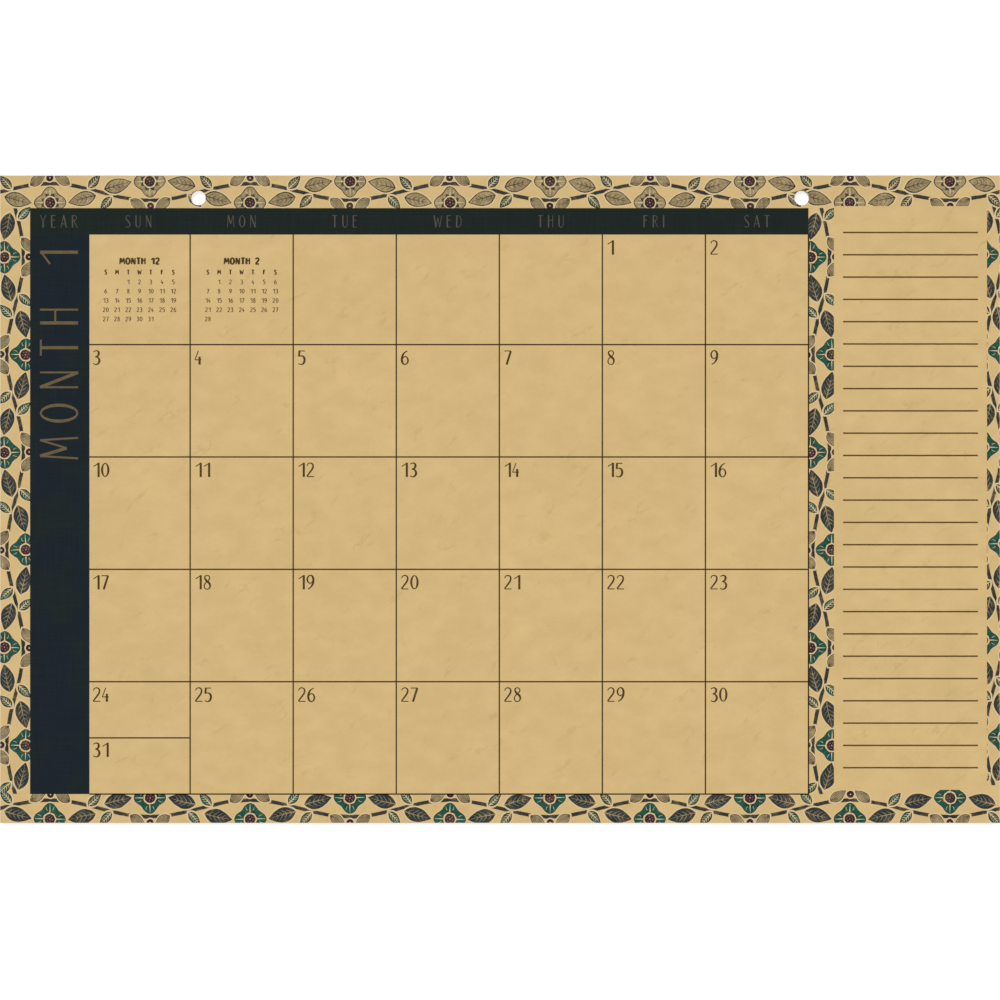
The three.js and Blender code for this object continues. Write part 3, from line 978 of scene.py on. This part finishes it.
def border_run_tree():
    """A vine along X from the origin, with a sprig in each half wave, turned over from one to the next."""
    inputs = {
        "Length": 400 * MM,
        "Half waves": 10,
        "Reach": 3.6 * MM,
        "Vine width": 0.8 * MM,
        "Outline width": 0.4 * MM,
        "Sprig": "Object",
        "Start": "Vector",
        "Turn": "Vector",
        "Wobble": 0.2 * MM,
        "Seed": 1,
        "Ink": "Material",
    }
    t = new_group("Border run", "GeometryNodeTree", inputs, Geometry="Geometry")
    run, half_waves, reach, vine, outline = (t.given[name] for name in list(inputs)[:5])
    step = t.maths("DIVIDE", run, half_waves)
    shapes = []
    for layer, ink, width in ((1, "outline", t.times_plus(outline, 2.0, vine)), (2, "navy", vine)):
        flat = t.grid(run, width, t.times(half_waves, 16), 2)
        ribbon = t.transformed(flat, t.combined(x=t.times(run, 0.5)))
        along = t.axis(t.add("GeometryNodeInputPosition")[0], "X")
        turn = t.times(t.maths("DIVIDE", along, step), math.pi)
        ribbon = t.moved(ribbon, t.combined(y=t.times(t.maths("SINE", turn), reach)))
        for name, value in (("layer", layer), ("ink", INKS.index(ink))):
            mark = {"Geometry": ribbon, "Name": name, "Value": value}
            ribbon = t.add("GeometryNodeStoreNamedAttribute", mark, data_type="INT", domain="FACE")[0]
        shapes.append(ribbon)
    middle = t.combined(x=t.times(step, 0.5))
    points = t.row_of_points(half_waves, t.combined(x=step), middle)
    odd = t.maths("MODULO", t.add("GeometryNodeInputIndex")[0], 2.0)
    side = t.combined(1.0, t.times_plus(odd, 2.0, -1.0), 1.0)
    lean = t.random_vector((0.0, 0.0, -0.035), (0.0, 0.0, 0.035))
    shapes.append(t.copies(points, t.object_shape("Sprig"), Rotation=lean, Scale=side))
    spread = t.transformed(t.real(t.joined(shapes)), t.given["Start"], t.given["Turn"])
    for scale, share in ((900.0, 1.0), (170.0, 2.6)):
        spread = t.moved(spread, t.scaled(t.waves(scale, share), t.given["Wobble"]))
    return t.end_with_material(spread, "Ink")


# The border's shapes, round the middle of a half wave whose hollow is on the +Y side

INKS = ("halo", "outline", "navy", "teal", "muted_teal", "plum", "taupe")
EDGE_MARGIN = 0.02 * MM
FAR = 30 * MM
FINE_LEAF = (8.4 * MM, 4.4 * MM)
TEAL_LEAF = (7.6 * MM, 3.9 * MM)
QUARTER = math.pi / 2


def leaf_points(size, width, count=14):
    """A pointed leaf from the origin along X."""
    upper = []
    for i in range(count + 1):
        t = i / count
        x = 2 * (1 - t) * t * size / 3 + t * t * size
        upper.append((x, (1 - t) * t * width * 2))
    lower = [(x, -y) for x, y in reversed(upper[1:-1])]
    return [*lower[::-1], upper[-1], *upper[-2:0:-1], upper[0]]


def stretched_points(points, middle, across, up):
    return [(middle + (x - middle) * across, y * up) for x, y in points]


def sliver(start, end, bend, width, count=6):
    """A thin curved mark that is widest near its start."""
    line = []
    direction = Vector(end) - Vector(start)
    side = Vector((-direction.y, direction.x)).normalized()
    for i in range(count + 1):
        t = i / count
        point = Vector(start) + direction * t + side * bend * math.sin(math.pi * t)
        line.append((point, width * (1 - 0.8 * t) / 2))
    left = [tuple(p + side * w) for p, w in line]
    right = [tuple(p - side * w) for p, w in reversed(line)]
    return [*left, *right]


class Drawing(list):
    """Outlines drawn at a place, on a layer counted from the drawing's own."""

    def __init__(self, place, layer):
        super().__init__()
        self.place = place
        self.layer = layer

    def draw(self, level, ink, points, *turns):
        place = self.place
        for turn in turns:
            place = place @ turn
        self.append(Outline(self.layer + level, ink, moved(points, place)))


def leaf_outlines(place, size, width, fill, vein, border, layer):
    """A leaf with its halo, outline, fill, midrib and side veins."""
    found = Drawing(place, layer)
    points = leaf_points(size, width)
    coats = (("halo", border.halo_width), ("outline", 0), (fill, -border.outline_width))
    for level, (ink, grow) in enumerate(coats):
        across = (size + 2 * grow * 1.6) / size
        up = (width + 2 * grow * 1.15) / width
        found.draw(level, ink, stretched_points(points, size / 2, across, up))
    found.draw(3, vein, sliver((0.3 * MM, 0), (size * 0.88, 0), 0.2 * MM, 0.5 * MM))
    for i in range(4):
        foot = size * (0.16 + 0.16 * i)
        reach = width * 0.34 * math.sin(math.pi * (0.28 + 0.17 * i))
        for side in (-1, 1):
            tip = (foot + reach * 1.1, reach * side)
            found.draw(3, vein, sliver((foot, 0.1 * MM * side), tip, 0.2 * MM * side, 0.32 * MM))
    return found


def engraved_leaf(place, size, width, border, layer):
    """A small taupe leaf with fine lines along it."""
    found = Drawing(place, layer)
    points = leaf_points(size, width)
    across = (size + 2 * border.halo_width * 1.3) / size
    up = (width + 2 * border.halo_width) / width
    found.draw(0, "halo", stretched_points(points, size / 2, across, up))
    found.draw(1, "outline", points)
    found.draw(2, "taupe", stretched_points(points, size / 2, 1 - 0.6 * MM / size, 1 - 0.62 * MM / width))
    for i in (-2, -1, 0, 1, 2):
        bend = i * width * 0.13
        end = (size * (0.9 - 0.06 * abs(i)), bend * 0.25)
        found.draw(3, "outline", sliver((size * 0.06, bend * 0.1), end, bend, 0.2 * MM))
    return found


def blossom_outlines(place, border, fill, inner, layer):
    """A blossom of four petals with a ringed heart."""
    size = border.blossom_radius
    heart = border.heart_radius
    found = Drawing(place, layer)

    def rounds(level, ink, radius, depth, lobes, sides, start=0.0):
        def radius_at(t):
            return radius * (1 - depth * (0.5 - 0.5 * math.cos(lobes * (t - start))))

        found.draw(level, ink, ring(0, 0, radius_at, sides))

    def dot(radius, sides, *turns):
        found.draw(9, "taupe", ring(0, 0, lambda _: radius, sides), *turns)

    rounds(0, "halo", size + border.halo_width, 0.24, 4, 56)
    rounds(1, "outline", size, 0.24, 4, 56)
    rounds(2, fill, size - border.outline_width, 0.26, 4, 56)
    for k in range(4):
        turn = Matrix.Rotation(k * QUARTER, 4, "Z")
        found.draw(3, "halo", sliver((size * 0.4, 0), (size * 0.93, 0), 0, 0.5 * MM), turn)
        for side in (-1, 1):
            foot, tip = (size * 0.44, 0.5 * MM * side), (size * 0.78, size * 0.26 * side)
            found.draw(3, "halo", sliver(foot, tip, 0.3 * MM * side, 0.36 * MM), turn)
    rounds(4, "outline", size * 0.6, 0.3, 8, 64, math.pi / 8)
    rounds(5, inner, size * 0.54, 0.34, 8, 64, math.pi / 8)
    rounds(6, "halo", heart + 0.75 * MM, 0.06, 7, 40)
    rounds(7, "outline", heart + 0.15 * MM, 0.05, 9, 40)
    rounds(8, "plum", heart - 0.15 * MM, 0.1, 11, 44)
    for k in range(6):
        turn = Matrix.Rotation(k * math.pi / 3 + 0.3, 4, "Z")
        dot(0.2 * MM, 8, turn, Matrix.Translation((1.2 * MM, 0, 0)))
    dot(0.34 * MM, 10)
    return found


def berry_outlines(place, radius, border, layer):
    """A berry with a highlight."""
    found = Drawing(place, layer)
    rim = 0.25 * MM
    halo = radius + border.halo_width + rim
    sizes = (("halo", halo), ("outline", radius + rim), ("plum", radius), ("halo", radius * 0.24))
    for level, (ink, size) in enumerate(sizes):
        found.draw(level, ink, ring(0, 0, lambda _: size, 28))
    return found


def sprig_outlines(step, border, bold):
    """What one half wave holds. The bold sprig is in deep inks, and the other in fine lines."""
    leaf_fill, leaf_vein = ("navy", "taupe") if bold else ("taupe", "outline")
    petal, inner = ("teal", "navy") if bold else ("taupe", "muted_teal")
    small_fill = "teal" if bold else "muted_teal"
    found = []
    shift, lean = border.leaf_shift, border.leaf_lean
    size, width = border.leaf_length, border.leaf_width
    for x, turn in ((-step / 2 + shift, lean), (step / 2 - shift, math.pi - lean)):
        found += leaf_outlines(spot(x, shift, turn), size, width, leaf_fill, leaf_vein, border, 10)
    for side in (-1, 1):
        fine = spot(side * step * 0.2, -2.9 * MM, -QUARTER - side * 0.95)
        found += engraved_leaf(fine, *FINE_LEAF, border, 4)
        small = spot(side * step * 0.385, -1.6 * MM, -QUARTER + side * 0.75)
        found += leaf_outlines(small, *TEAL_LEAF, small_fill, "halo", border, 6)
    found += blossom_outlines(spot(0, border.blossom_offset), border, petal, inner, 20)
    stalk = sliver((0, -border.reach), (0, -border.berry_offset), 0.3 * MM, 0.7 * MM)
    found.append(Outline(30, "outline", stalk))
    found += berry_outlines(spot(0, -border.berry_offset), border.berry_radius, border, 31)
    return found


def outlines_object(name, outlines):
    """The outlines as faces that carry their layer and ink."""
    mesh = bpy.data.meshes.new(name)
    points = []
    faces = []
    for outline in outlines:
        faces.append(tuple(range(len(points), len(points) + len(outline.points))))
        points.extend((x, y, 0.0) for x, y in outline.points)
    mesh.from_pydata(points, [], faces)
    marks = {
        "layer": [outline.layer for outline in outlines],
        "ink": [INKS.index(outline.ink) for outline in outlines],
    }
    for label, values in marks.items():
        mesh.attributes.new(label, "INT", "FACE").data.foreach_set("value", values)
    holder = bpy.data.objects.new(name, mesh)
    bpy.context.scene.collection.objects.link(holder)
    return holder


def outlines_of(mesh):
    """The faces of a mesh as outlines again."""
    layers = mesh.attributes["layer"].data
    inks = mesh.attributes["ink"].data
    found = []
    for face in mesh.polygons:
        points = [tuple(mesh.vertices[v].co.xy) for v in face.vertices]
        found.append(Outline(layers[face.index].value, INKS[inks[face.index].value], points))
    return found


def border_strips(sizes):
    """Start, end and kind of each strip of border, along its middle line."""
    sheet, month, notes = sheet_area(), month_area(sizes), notes_area(sizes)
    foot = (sheet.y0 + month.y0) / 2
    head = (sheet.y1 + month.y1) / 2
    strips = [((sheet.x0, foot), (sheet.x1, foot), True), ((sheet.x0, head), (sheet.x1, head), False)]
    for x in ((sheet.x0 + month.x0) / 2, (month.x1 + notes.x0) / 2):
        strips.append(((x, month.y0), (x, month.y1), True))
    right = (notes.x1 + sheet.x1) / 2
    strips.append(((right, notes.y0 + 2 * MM), (right, notes.y1), True))
    return strips


def border_cuts(sizes):
    """What the border print leaves bare: the panels, the holes and all outside the sheet."""
    sheet = sheet_area()
    outer = Area(sheet.x0 - FAR, sheet.y0 - FAR, sheet.x1 + FAR, sheet.y1 + FAR)
    outside = (
        outer._replace(y1=sheet.y0 + EDGE_MARGIN),
        outer._replace(y0=sheet.y1 - EDGE_MARGIN),
        outer._replace(x1=sheet.x0 + EDGE_MARGIN),
        outer._replace(x0=sheet.x1 - EDGE_MARGIN),
    )
    areas = (month_area(sizes), notes_area(sizes), *outside)
    return [Outline(CUT_LAYER, None, corners_of(area)) for area in areas] + hole_cuts(sizes)


# Operators

LEAF_SHARE = 0.93  # of the room that a leaf has in the stack
GLUE_STATIONS = 260
GLUE_FOOT = ((0, 0.04), (0.55, 0.03), (0.9, 0.1), (1, 0.3))
GLUE_HEAD = ((0.96, 0.6), (1, 0.85), (0.6, 0.97), (0, 0.96))
GLUE_SECTION = GLUE_FOOT + GLUE_HEAD
GLUE_SWELL, SWELL_WAVES, SWELL_STEP = 0.16, 90, 1.7
GLUE_DRIFT, DRIFT_WAVES, DRIFT_STEP, DRIFT_SEED = 0.03, 60, 0.9, 5
LOWEST, HIGHEST = 0.01, 0.985
WEEKDAYS = ("SUN", "MON", "TUE", "WED", "THU", "FRI", "SAT")
FIRST_COLUMN = 5
LAST_DATE = 31
SMALL_MONTHS = (("MONTH 12", 2, 31), ("MONTH 2", 1, 28))
TITLE_INDENT = 4.3 * MM
MONTH_DROP = 103 * MM
SMALL_TITLE_DROP = 13.8 * MM
INITIALS_DROP = 4.4 * MM
FIRST_DAYS_DROP = 8.6 * MM
PRINT_SHIFT = 0.4 * MM
LAP_SHARE = 0.4
FLOOR_DROP = 0.05 * MM
VIEW_SHIFT = 0.324 * MM


def leaf_plate(name, sizes, low, high):
    outlines = [Outline(0, "paper", corners_of(sheet_area())), *hole_cuts(sizes)]
    corners, by_ink = cut_outlines(outlines)
    return plate_mesh(name, corners, by_ink["paper"], low, high)


class PieceOperator:
    """What the operators share: each makes its pieces from the scene's sizes and inks."""

    def execute(self, context):
        scene = context.scene
        colours = scene.pad_colours
        inks = {name: linear(getattr(colours, name)) for name in PadColours.__annotations__}
        self.make(scene, scene.pad_sizes, inks)
        return {"FINISHED"}


class AddUnderSheets(PieceOperator, Operator):
    """Stack the month sheets that lie under the top one"""

    bl_idname = "pad.add_under_sheets"
    bl_label = "Under Sheets"

    def make(self, scene, sizes, inks):
        low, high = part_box("month_sheets")
        pitch = (high.z - low.z) / sizes.leaf_count
        leaf = bpy.data.objects.new("leaf", leaf_plate("leaf", sizes, low.z, low.z + pitch * LEAF_SHARE))
        scene.collection.objects.link(leaf)
        material = paper_material("stacked_paper", inks["paper"], inks["paper_edge"])
        values = {
            "Leaf": leaf,
            "Count": sizes.leaf_count - 1,
            "Pitch": pitch,
            "Shift": sizes.leaf_shift,
            "Seed": 3,
            "Paper": material,
        }
        mesh = grown(leaf_stack_tree(), values)
        bpy.data.objects.remove(leaf)
        piece = add_piece("under_sheets", mesh, material)
        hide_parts("month_sheets")


class AddTopSheet(PieceOperator, Operator):
    """Lay the parchment-tinted top sheet on the stack"""

    bl_idname = "pad.add_top_sheet"
    bl_label = "Top Sheet"

    def make(self, scene, sizes, inks):
        low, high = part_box("month_sheets")
        thickness = (high.z - low.z) / sizes.leaf_count
        mesh = leaf_plate("top_sheet", sizes, high.z - thickness, high.z)
        material = paper_material("parchment_paper", inks["paper"], inks["paper_edge"])
        piece = add_piece("top_sheet", mesh, material)
        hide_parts("month_sheets")


class FinishBoard(PieceOperator, Operator):
    """Give the backing board its chipboard finish"""

    bl_idname = "pad.finish_board"
    bl_label = "Backing Board"

    def make(self, scene, sizes, inks):
        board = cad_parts["backing_board"]
        board.data.materials.clear()
        board.data.materials.append(board_material("chipboard", inks["board"]))


class AddGlueFilm(PieceOperator, Operator):
    """Brush the padding glue along the top edge"""

    bl_idname = "pad.add_glue_film"
    bl_label = "Glue Film"

    def make(self, scene, sizes, inks):
        low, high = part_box("glue_binding")
        form = bmesh.new()
        rows = []
        for i in range(GLUE_STATIONS + 1):
            x = low.x + (high.x - low.x) * i / GLUE_STATIONS
            row = []
            for j, (out, up) in enumerate(GLUE_SECTION):
                swell = 1 - GLUE_SWELL * (1 + noise.noise((x * SWELL_WAVES, j * SWELL_STEP, 0)))
                drift = GLUE_DRIFT * noise.noise((x * DRIFT_WAVES, j * DRIFT_STEP, DRIFT_SEED))
                y = low.y + (high.y - low.y) * out * swell
                z = low.z + (high.z - low.z) * min(max(up + drift, LOWEST), HIGHEST)
                row.append(form.verts.new((x, y, z)))
            rows.append(row)
        for first, second in zip(rows, rows[1:]):
            for j in range(len(GLUE_SECTION)):
                k = (j + 1) % len(GLUE_SECTION)
                form.faces.new((first[j], first[k], second[k], second[j]))
        form.faces.new(rows[0][::-1])
        form.faces.new(rows[-1])
        bmesh.ops.recalc_face_normals(form, faces=form.faces)
        mesh = bpy.data.meshes.new("glue_film")
        form.to_mesh(mesh)
        form.free()
        mesh.shade_smooth()
        piece = add_piece("glue_film", mesh, glue_material("padding_glue", inks["glue"]))
        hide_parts("glue_binding")


class AddTitleBand(PieceOperator, Operator):
    """Print the title column and weekday row, and the letters in them"""

    bl_idname = "pad.add_title_band"
    bl_label = "Title Band"

    def make(self, scene, sizes, inks):
        letters = scene.pad_letters
        month, grid = month_area(sizes), grid_area(sizes)
        side, foot = grid.x0 + sizes.overprint, grid.y1 - sizes.overprint
        band = [(month.x0, month.y0), (side, month.y0), (side, foot), (month.x1, foot)]
        band += [(month.x1, month.y1), (month.x0, month.y1)]
        outlines = [Outline(0, "title", band)]
        box_width, _ = box_pitch(sizes)
        row_middle = (foot + month.y1) / 2
        hand = hand_of("weekday", letters.weekday_height)
        for i, name in enumerate(WEEKDAYS):
            middle = grid.x0 + (i + 0.5) * box_width
            outlines += centred("dim_gold", name, middle, row_middle - hand.height / 2, hand)
        left = month.x0 + TITLE_INDENT
        hand = hand_of("year", letters.year_height)
        outlines += written("dim_gold", "YEAR", spot(left, row_middle - hand.height / 2), hand)
        hand = hand_of("month", letters.month_height)
        up = spot(left + hand.height, row_middle - MONTH_DROP, QUARTER)
        outlines += written("gold", "MONTH 1", up, hand)
        materials = {
            "title": title_material("title_ink", inks["title"], inks["title_row"], foot),
            "gold": ink_material("gold", inks),
            "dim_gold": ink_material("dim_gold", inks),
        }
        add_print("band", outlines, materials, sizes)


class AddDayGrid(PieceOperator, Operator):
    """Print the lines between the day boxes"""

    bl_idname = "pad.add_day_grid"
    bl_label = "Day Grid"

    def make(self, scene, sizes, inks):
        grid = grid_area(sizes)
        width, height = box_pitch(sizes)
        left, top = grid.x0 + sizes.overprint, grid.y1 - sizes.overprint
        material = ink_material("line", inks)
        values = {
            "Columns": sizes.columns,
            "Rows": sizes.rows,
            "Box width": width,
            "Box height": height,
            "Line width": sizes.line_width,
            "Thickness": sizes.ink_thickness,
            "Corner": (grid.x0, grid.y0, face_height()),
            "Ink": material,
        }
        mesh = grown(day_grid_tree(), values)
        for vertex in mesh.vertices:
            vertex.co.x = max(vertex.co.x, left)
            vertex.co.y = min(vertex.co.y, top)
        add_piece("day_grid", mesh, material)
        half = sizes.line_width / 2
        middle = grid.y0 + height / 2
        half_line = Area(left, middle - half, grid.x0 + width - half, middle + half)
        add_print("half_box_line", [Outline(0, "line", corners_of(half_line))], {"line": material}, sizes)


class AddNoteRules(PieceOperator, Operator):
    """Print the rules of the notes panel"""

    bl_idname = "pad.add_note_rules"
    bl_label = "Note Rules"

    def make(self, scene, sizes, inks):
        notes = notes_area(sizes)
        room = notes.y1 - sizes.first_rule - (notes.y0 + sizes.rule_margin)
        material = ink_material("rule", inks)
        values = {
            "Count": int(room / sizes.rule_pitch) + 1,
            "Pitch": sizes.rule_pitch,
            "Length": notes.x1 - notes.x0 - 2 * sizes.rule_margin,
            "Width": sizes.rule_width,
            "Thickness": sizes.ink_thickness,
            "Start": (notes.x0 + sizes.rule_margin, notes.y1 - sizes.first_rule, face_height()),
            "Ink": material,
        }
        add_piece("note_rules", grown(note_rules_tree(), values), material)


class AddDates(PieceOperator, Operator):
    """Write the dates in the day boxes. A date past the last row stands in the lower half of a box there"""

    bl_idname = "pad.add_dates"
    bl_label = "Dates"

    def make(self, scene, sizes, inks):
        letters = scene.pad_letters
        grid = grid_area(sizes)
        width, height = box_pitch(sizes)
        hand = hand_of("date", letters.date_height)
        outlines = []
        for date in range(1, LAST_DATE + 1):
            row, column = divmod(date - 1 + FIRST_COLUMN, sizes.columns)
            halved = row >= sizes.rows
            row = min(row, sizes.rows - 1)
            x = grid.x0 + column * width + letters.date_inset
            y = grid.y1 - row * height - letters.date_drop - letters.date_height
            if column == 0:
                x += sizes.overprint * LAP_SHARE
            if row == 0:
                y -= sizes.overprint
            if halved:
                y -= height / 2 - PRINT_SHIFT
            outlines += written("number", str(date), spot(x, y), hand)
        add_print("date_numbers", outlines, {"number": ink_material("number", inks)}, sizes)


class AddSmallCalendars(PieceOperator, Operator):
    """Write the small calendars of the months before and after"""

    bl_idname = "pad.add_small_calendars"
    bl_label = "Small Calendars"

    def make(self, scene, sizes, inks):
        letters = scene.pad_letters
        grid = grid_area(sizes)
        width, _ = box_pitch(sizes)
        title_hand = hand_of("small_title", letters.small_title_height)
        initial_hand = hand_of("small_initial", letters.small_height)
        day_hand = hand_of("small_number", letters.small_height)
        y = grid.y1 - SMALL_TITLE_DROP
        outlines = []
        for box, (title, first_column, days) in enumerate(SMALL_MONTHS):
            middle = grid.x0 + (box + 0.5) * width + (0 if box else PRINT_SHIFT)
            left = middle - 3 * letters.small_column
            outlines += centred("number", title, middle, y, title_hand)
            for column, name in enumerate(WEEKDAYS):
                x = left + column * letters.small_column
                outlines += centred("number", name[0], x, y - INITIALS_DROP, initial_hand)
            for day in range(1, days + 1):
                row, column = divmod(day - 1 + first_column, len(WEEKDAYS))
                x = left + column * letters.small_column
                drop = FIRST_DAYS_DROP + row * letters.small_row
                outlines += centred("number", str(day), x, y - drop, day_hand)
        materials = {"number": ink_material("small_number", inks, "number")}
        add_print("small_calendars", outlines, materials, sizes)


class AddBorder(PieceOperator, Operator):
    """Print the vine round the border"""

    bl_idname = "pad.add_border"
    bl_label = "Border"

    def make(self, scene, sizes, inks):
        border = scene.pad_border
        materials = {name: ink_material(name, inks) for name in INKS}
        tree = border_run_tree()
        outlines = border_cuts(sizes)
        for number, (start, end, bold) in enumerate(border_strips(sizes)):
            run = Vector(end) - Vector(start)
            half_waves = 2 * max(1, round(run.length / border.wave))
            sprig = outlines_object("sprig", sprig_outlines(run.length / half_waves, border, bold))
            values = {
                "Length": run.length,
                "Half waves": half_waves,
                "Reach": border.reach,
                "Vine width": border.vine_width,
                "Outline width": border.outline_width,
                "Sprig": sprig,
                "Start": (*start, 0.0),
                "Turn": (0.0, 0.0, math.atan2(run.y, run.x)),
                "Wobble": border.wobble,
                "Seed": number,
                "Ink": materials["navy"],
            }
            outlines += outlines_of(grown(tree, values))
            bpy.data.objects.remove(sprig)
        add_print("border", outlines, materials, sizes)


class AddStage(PieceOperator, Operator):
    """Set up the pale floor, the soft studio light and the camera over the pad"""

    bl_idname = "pad.add_stage"
    bl_label = "Stage"

    def make(self, scene, sizes, inks):
        scene.view_settings.view_transform = "Standard"
        self.add_floor(scene)
        self.light_world(scene)
        self.add_lamp(scene)
        self.add_camera(scene)

    def add_floor(self, scene):
        """A floor that shows a pale glow from above and nothing from below."""
        form = bmesh.new()
        bmesh.ops.create_grid(form, x_segments=8, y_segments=8, size=2.0)
        mesh = bpy.data.meshes.new("floor")
        form.to_mesh(mesh)
        form.free()
        floor = bpy.data.objects.new("floor", mesh)
        floor.location.z = -FLOOR_DROP
        scene.collection.objects.link(floor)
        material = bpy.data.materials.new("pale_floor")
        t = Nodes(bare_tree(material))
        glow = t.add("ShaderNodeEmission", {"Strength": t.times(t.seen(), 0.66)})[0]
        matt = t.add("ShaderNodeBsdfDiffuse", {"Color": (0.5, 0.5, 0.5, 1.0)})[0]
        both = t.add("ShaderNodeAddShader", {0: glow, 1: matt})[0]
        behind = t.add("ShaderNodeNewGeometry")["Backfacing"]
        sides = {0: behind, 1: both, 2: t.add("ShaderNodeBsdfTransparent")[0]}
        t.add("ShaderNodeOutputMaterial", {"Surface": t.add("ShaderNodeMixShader", sides)[0]})
        mesh.materials.append(material)
        floor.visible_diffuse = False
        floor.visible_shadow = False
        floor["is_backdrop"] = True

    def light_world(self, scene):
        """White where it is seen, and dimmer where it lights the pad."""
        world = bpy.data.worlds.new("studio")
        t = Nodes(bare_tree(world))
        strength = t.times_plus(t.seen(), 0.45, 0.55)
        light = t.add("ShaderNodeBackground", {"Color": (1.0, 1.0, 1.0, 1.0), "Strength": strength})[0]
        t.add("ShaderNodeOutputWorld", {"Surface": light})
        scene.world = world

    def add_lamp(self, scene):
        data = bpy.data.lights.new("key", "SUN")
        data.energy = 1.6
        data.angle = math.radians(24)
        lamp = bpy.data.objects.new("key", data)
        lamp.rotation_euler = (math.radians(-28), math.radians(-16), 0)
        scene.collection.objects.link(lamp)

    def add_camera(self, scene):
        """A camera straight above, from where the sheet is as wide as the picture."""
        data = bpy.data.cameras.new("camera")
        data.sensor_width = 36
        data.lens = 85
        sheet = sheet_area()
        distance = (sheet.x1 - sheet.x0) * data.lens / data.sensor_width
        camera = bpy.data.objects.new("camera", data)
        camera.location = (0, (sheet.y0 + sheet.y1) / 2 - VIEW_SHIFT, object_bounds()[1].z + distance)
        scene.collection.objects.link(camera)
        scene.camera = camera


class DeskPadPanel(Panel):
    """The pieces of the desk pad, in the order in which they are made"""

    bl_idname = "VIEW3D_PT_desk_pad"
    bl_label = "Desk Pad Calendar"
    bl_space_type = "VIEW_3D"
    bl_region_type = "UI"
    bl_category = "Desk Pad"

    def draw(self, context):
        layout = self.layout
        for operator in OPERATORS:
            layout.operator(operator.bl_idname)
        for group, kind in SETTINGS.items():
            box = layout.box()
            for name in kind.__annotations__:
                box.prop(getattr(context.scene, group), name)


SETTINGS = {
    "pad_sizes": PadSizes,
    "pad_border": BorderSizes,
    "pad_letters": LetterSizes,
    "pad_colours": PadColours,
}
OPERATORS = (
    AddUnderSheets,
    AddTopSheet,
    FinishBoard,
    AddGlueFilm,
    AddTitleBand,
    AddDayGrid,
    AddNoteRules,
    AddDates,
    AddSmallCalendars,
    AddBorder,
    AddStage,
)
CLASSES = (*SETTINGS.values(), *OPERATORS, DeskPadPanel)


def register():
    for kind in CLASSES:
        bpy.utils.register_class(kind)
    for name, kind in SETTINGS.items():
        setattr(bpy.types.Scene, name, PointerProperty(type=kind))


def unregister():
    for name in SETTINGS:
        delattr(bpy.types.Scene, name)
    for kind in reversed(CLASSES):
        bpy.utils.unregister_class(kind)


def main():
    register()
    for operator in OPERATORS:
        group, name = operator.bl_idname.split(".")
        getattr(getattr(bpy.ops, group), name)()


if __name__ == "__main__":
    main()
